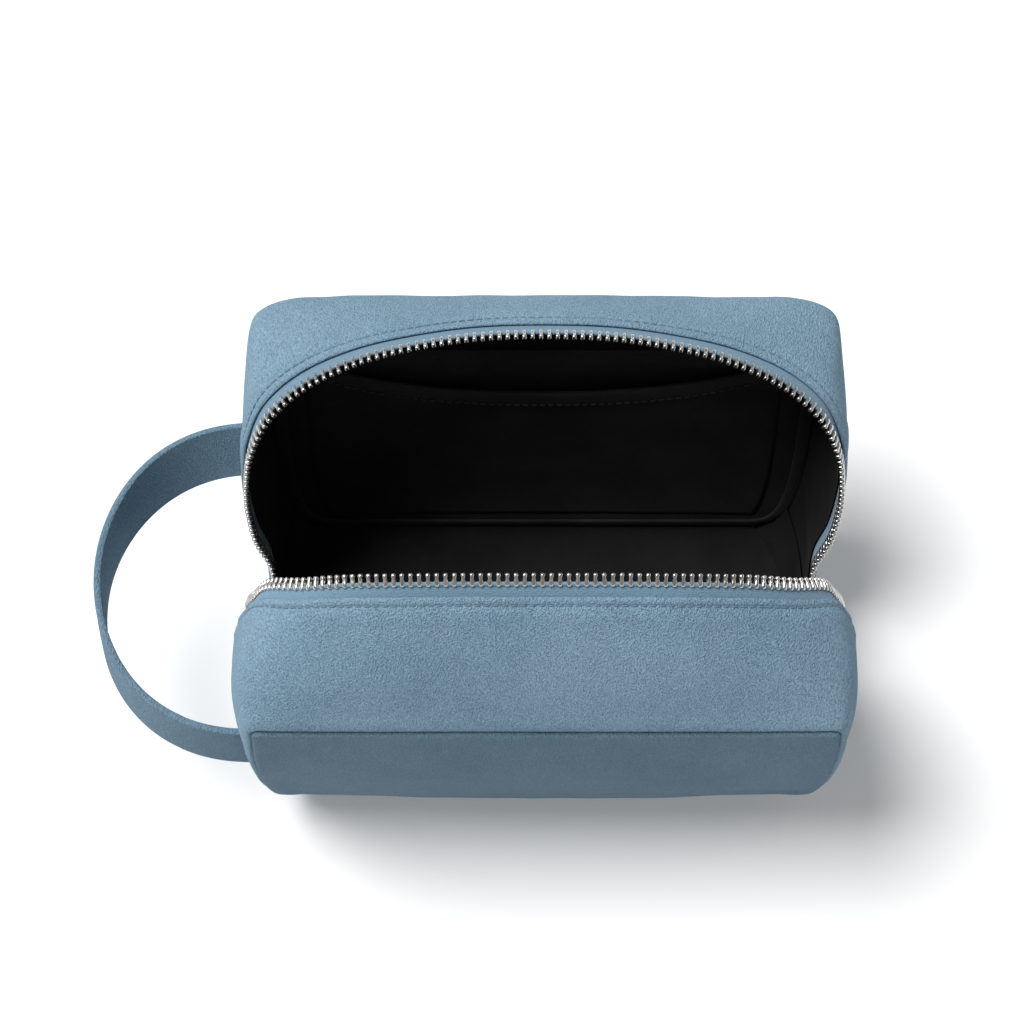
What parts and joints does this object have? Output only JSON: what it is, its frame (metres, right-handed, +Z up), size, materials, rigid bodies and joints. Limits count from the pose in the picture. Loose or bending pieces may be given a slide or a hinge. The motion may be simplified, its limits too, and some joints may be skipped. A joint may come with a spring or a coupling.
{
  "type": "zippered pouch",
  "caption": "Soft suede wash bag that stands on its base, with a wide zip mouth round three sides, black lining, slip pocket and side strap.",
  "frame": {"origin": "middle of the flat base, on the surface the pouch stands on", "axes": "+X along the pouch away from the strap, +Y towards the back wall, +Z up"},
  "size_m": [0.2733, 0.167, 0.1696],
  "materials": {
    "suede": "matte brushed nap",
    "lining": "matte twill",
    "zip_tape": "matte herringbone weave",
    "thread": "satin twisted thread",
    "nickel": "polished nickel",
    "board": "matte board"
  },
  "bodies": {
    "base": {"base_panel": "suede", "base_stiffener": "board", "base_lining": "lining", "front_lower_gusset": "suede", "back_lower_gusset": "suede", "lower_gusset_lining": "lining", "lower_zip_tape": "zip_tape", "lower_zip_teeth": "nickel", "zip_bottom_stop": "nickel", "zip_top_stop": "nickel"},
    "front_half": {"front_panel": "suede", "front_gusset": "suede", "front_lining": "lining", "front_gusset_lining": "lining", "front_binding": "lining", "front_zip_tape": "zip_tape", "front_zip_teeth": "nickel", "front_topstitch": "thread", "strap_front_tab": "suede"},
    "back_half": {"back_panel": "suede", "back_gusset": "suede", "back_lining": "lining", "back_gusset_lining": "lining", "back_binding": "lining", "back_pocket": "lining", "pocket_hem": "lining", "back_zip_tape": "zip_tape", "back_zip_teeth": "nickel", "back_topstitch": "thread", "strap_back_tab": "suede"},
    "slider": {"zip_slider": "nickel"},
    "puller": {"zip_puller": "nickel"},
    "strap": {"strap_outer": "suede", "strap_lining": "suede"}
  },
  "joints": [
    {"name": "front_mouth", "type": "hinge", "parent": "base", "child": "front_half", "pos_m": [0, -0.0545, 0.003], "axis": [-1, 0, 0], "range_deg": [0, 6]},
    {"name": "back_mouth", "type": "hinge", "parent": "base", "child": "back_half", "pos_m": [0, 0.055, 0.003], "axis": [1, 0, 0], "range_deg": [0, 10.8]},
    {"name": "slider_travel", "type": "slide", "parent": "base", "child": "slider", "axis": [0, 0, 1], "range_m": [0, 0.01]},
    {"name": "puller_swing", "type": "hinge", "parent": "slider", "child": "puller", "pos_m": [0.1053, 0.01, 0.037], "axis": [0, -1, 0], "range_deg": [0, 150]},
    {"name": "strap_swing", "type": "hinge", "parent": "base", "child": "strap", "pos_m": [-0.121, 0.003, 0.064], "axis": [0, 1, 0], "range_deg": [-25, 35]}
  ],
  "couplings": [
    {"joint": "back_mouth", "follows": "front_mouth", "ratio": 1.8}
  ]
}
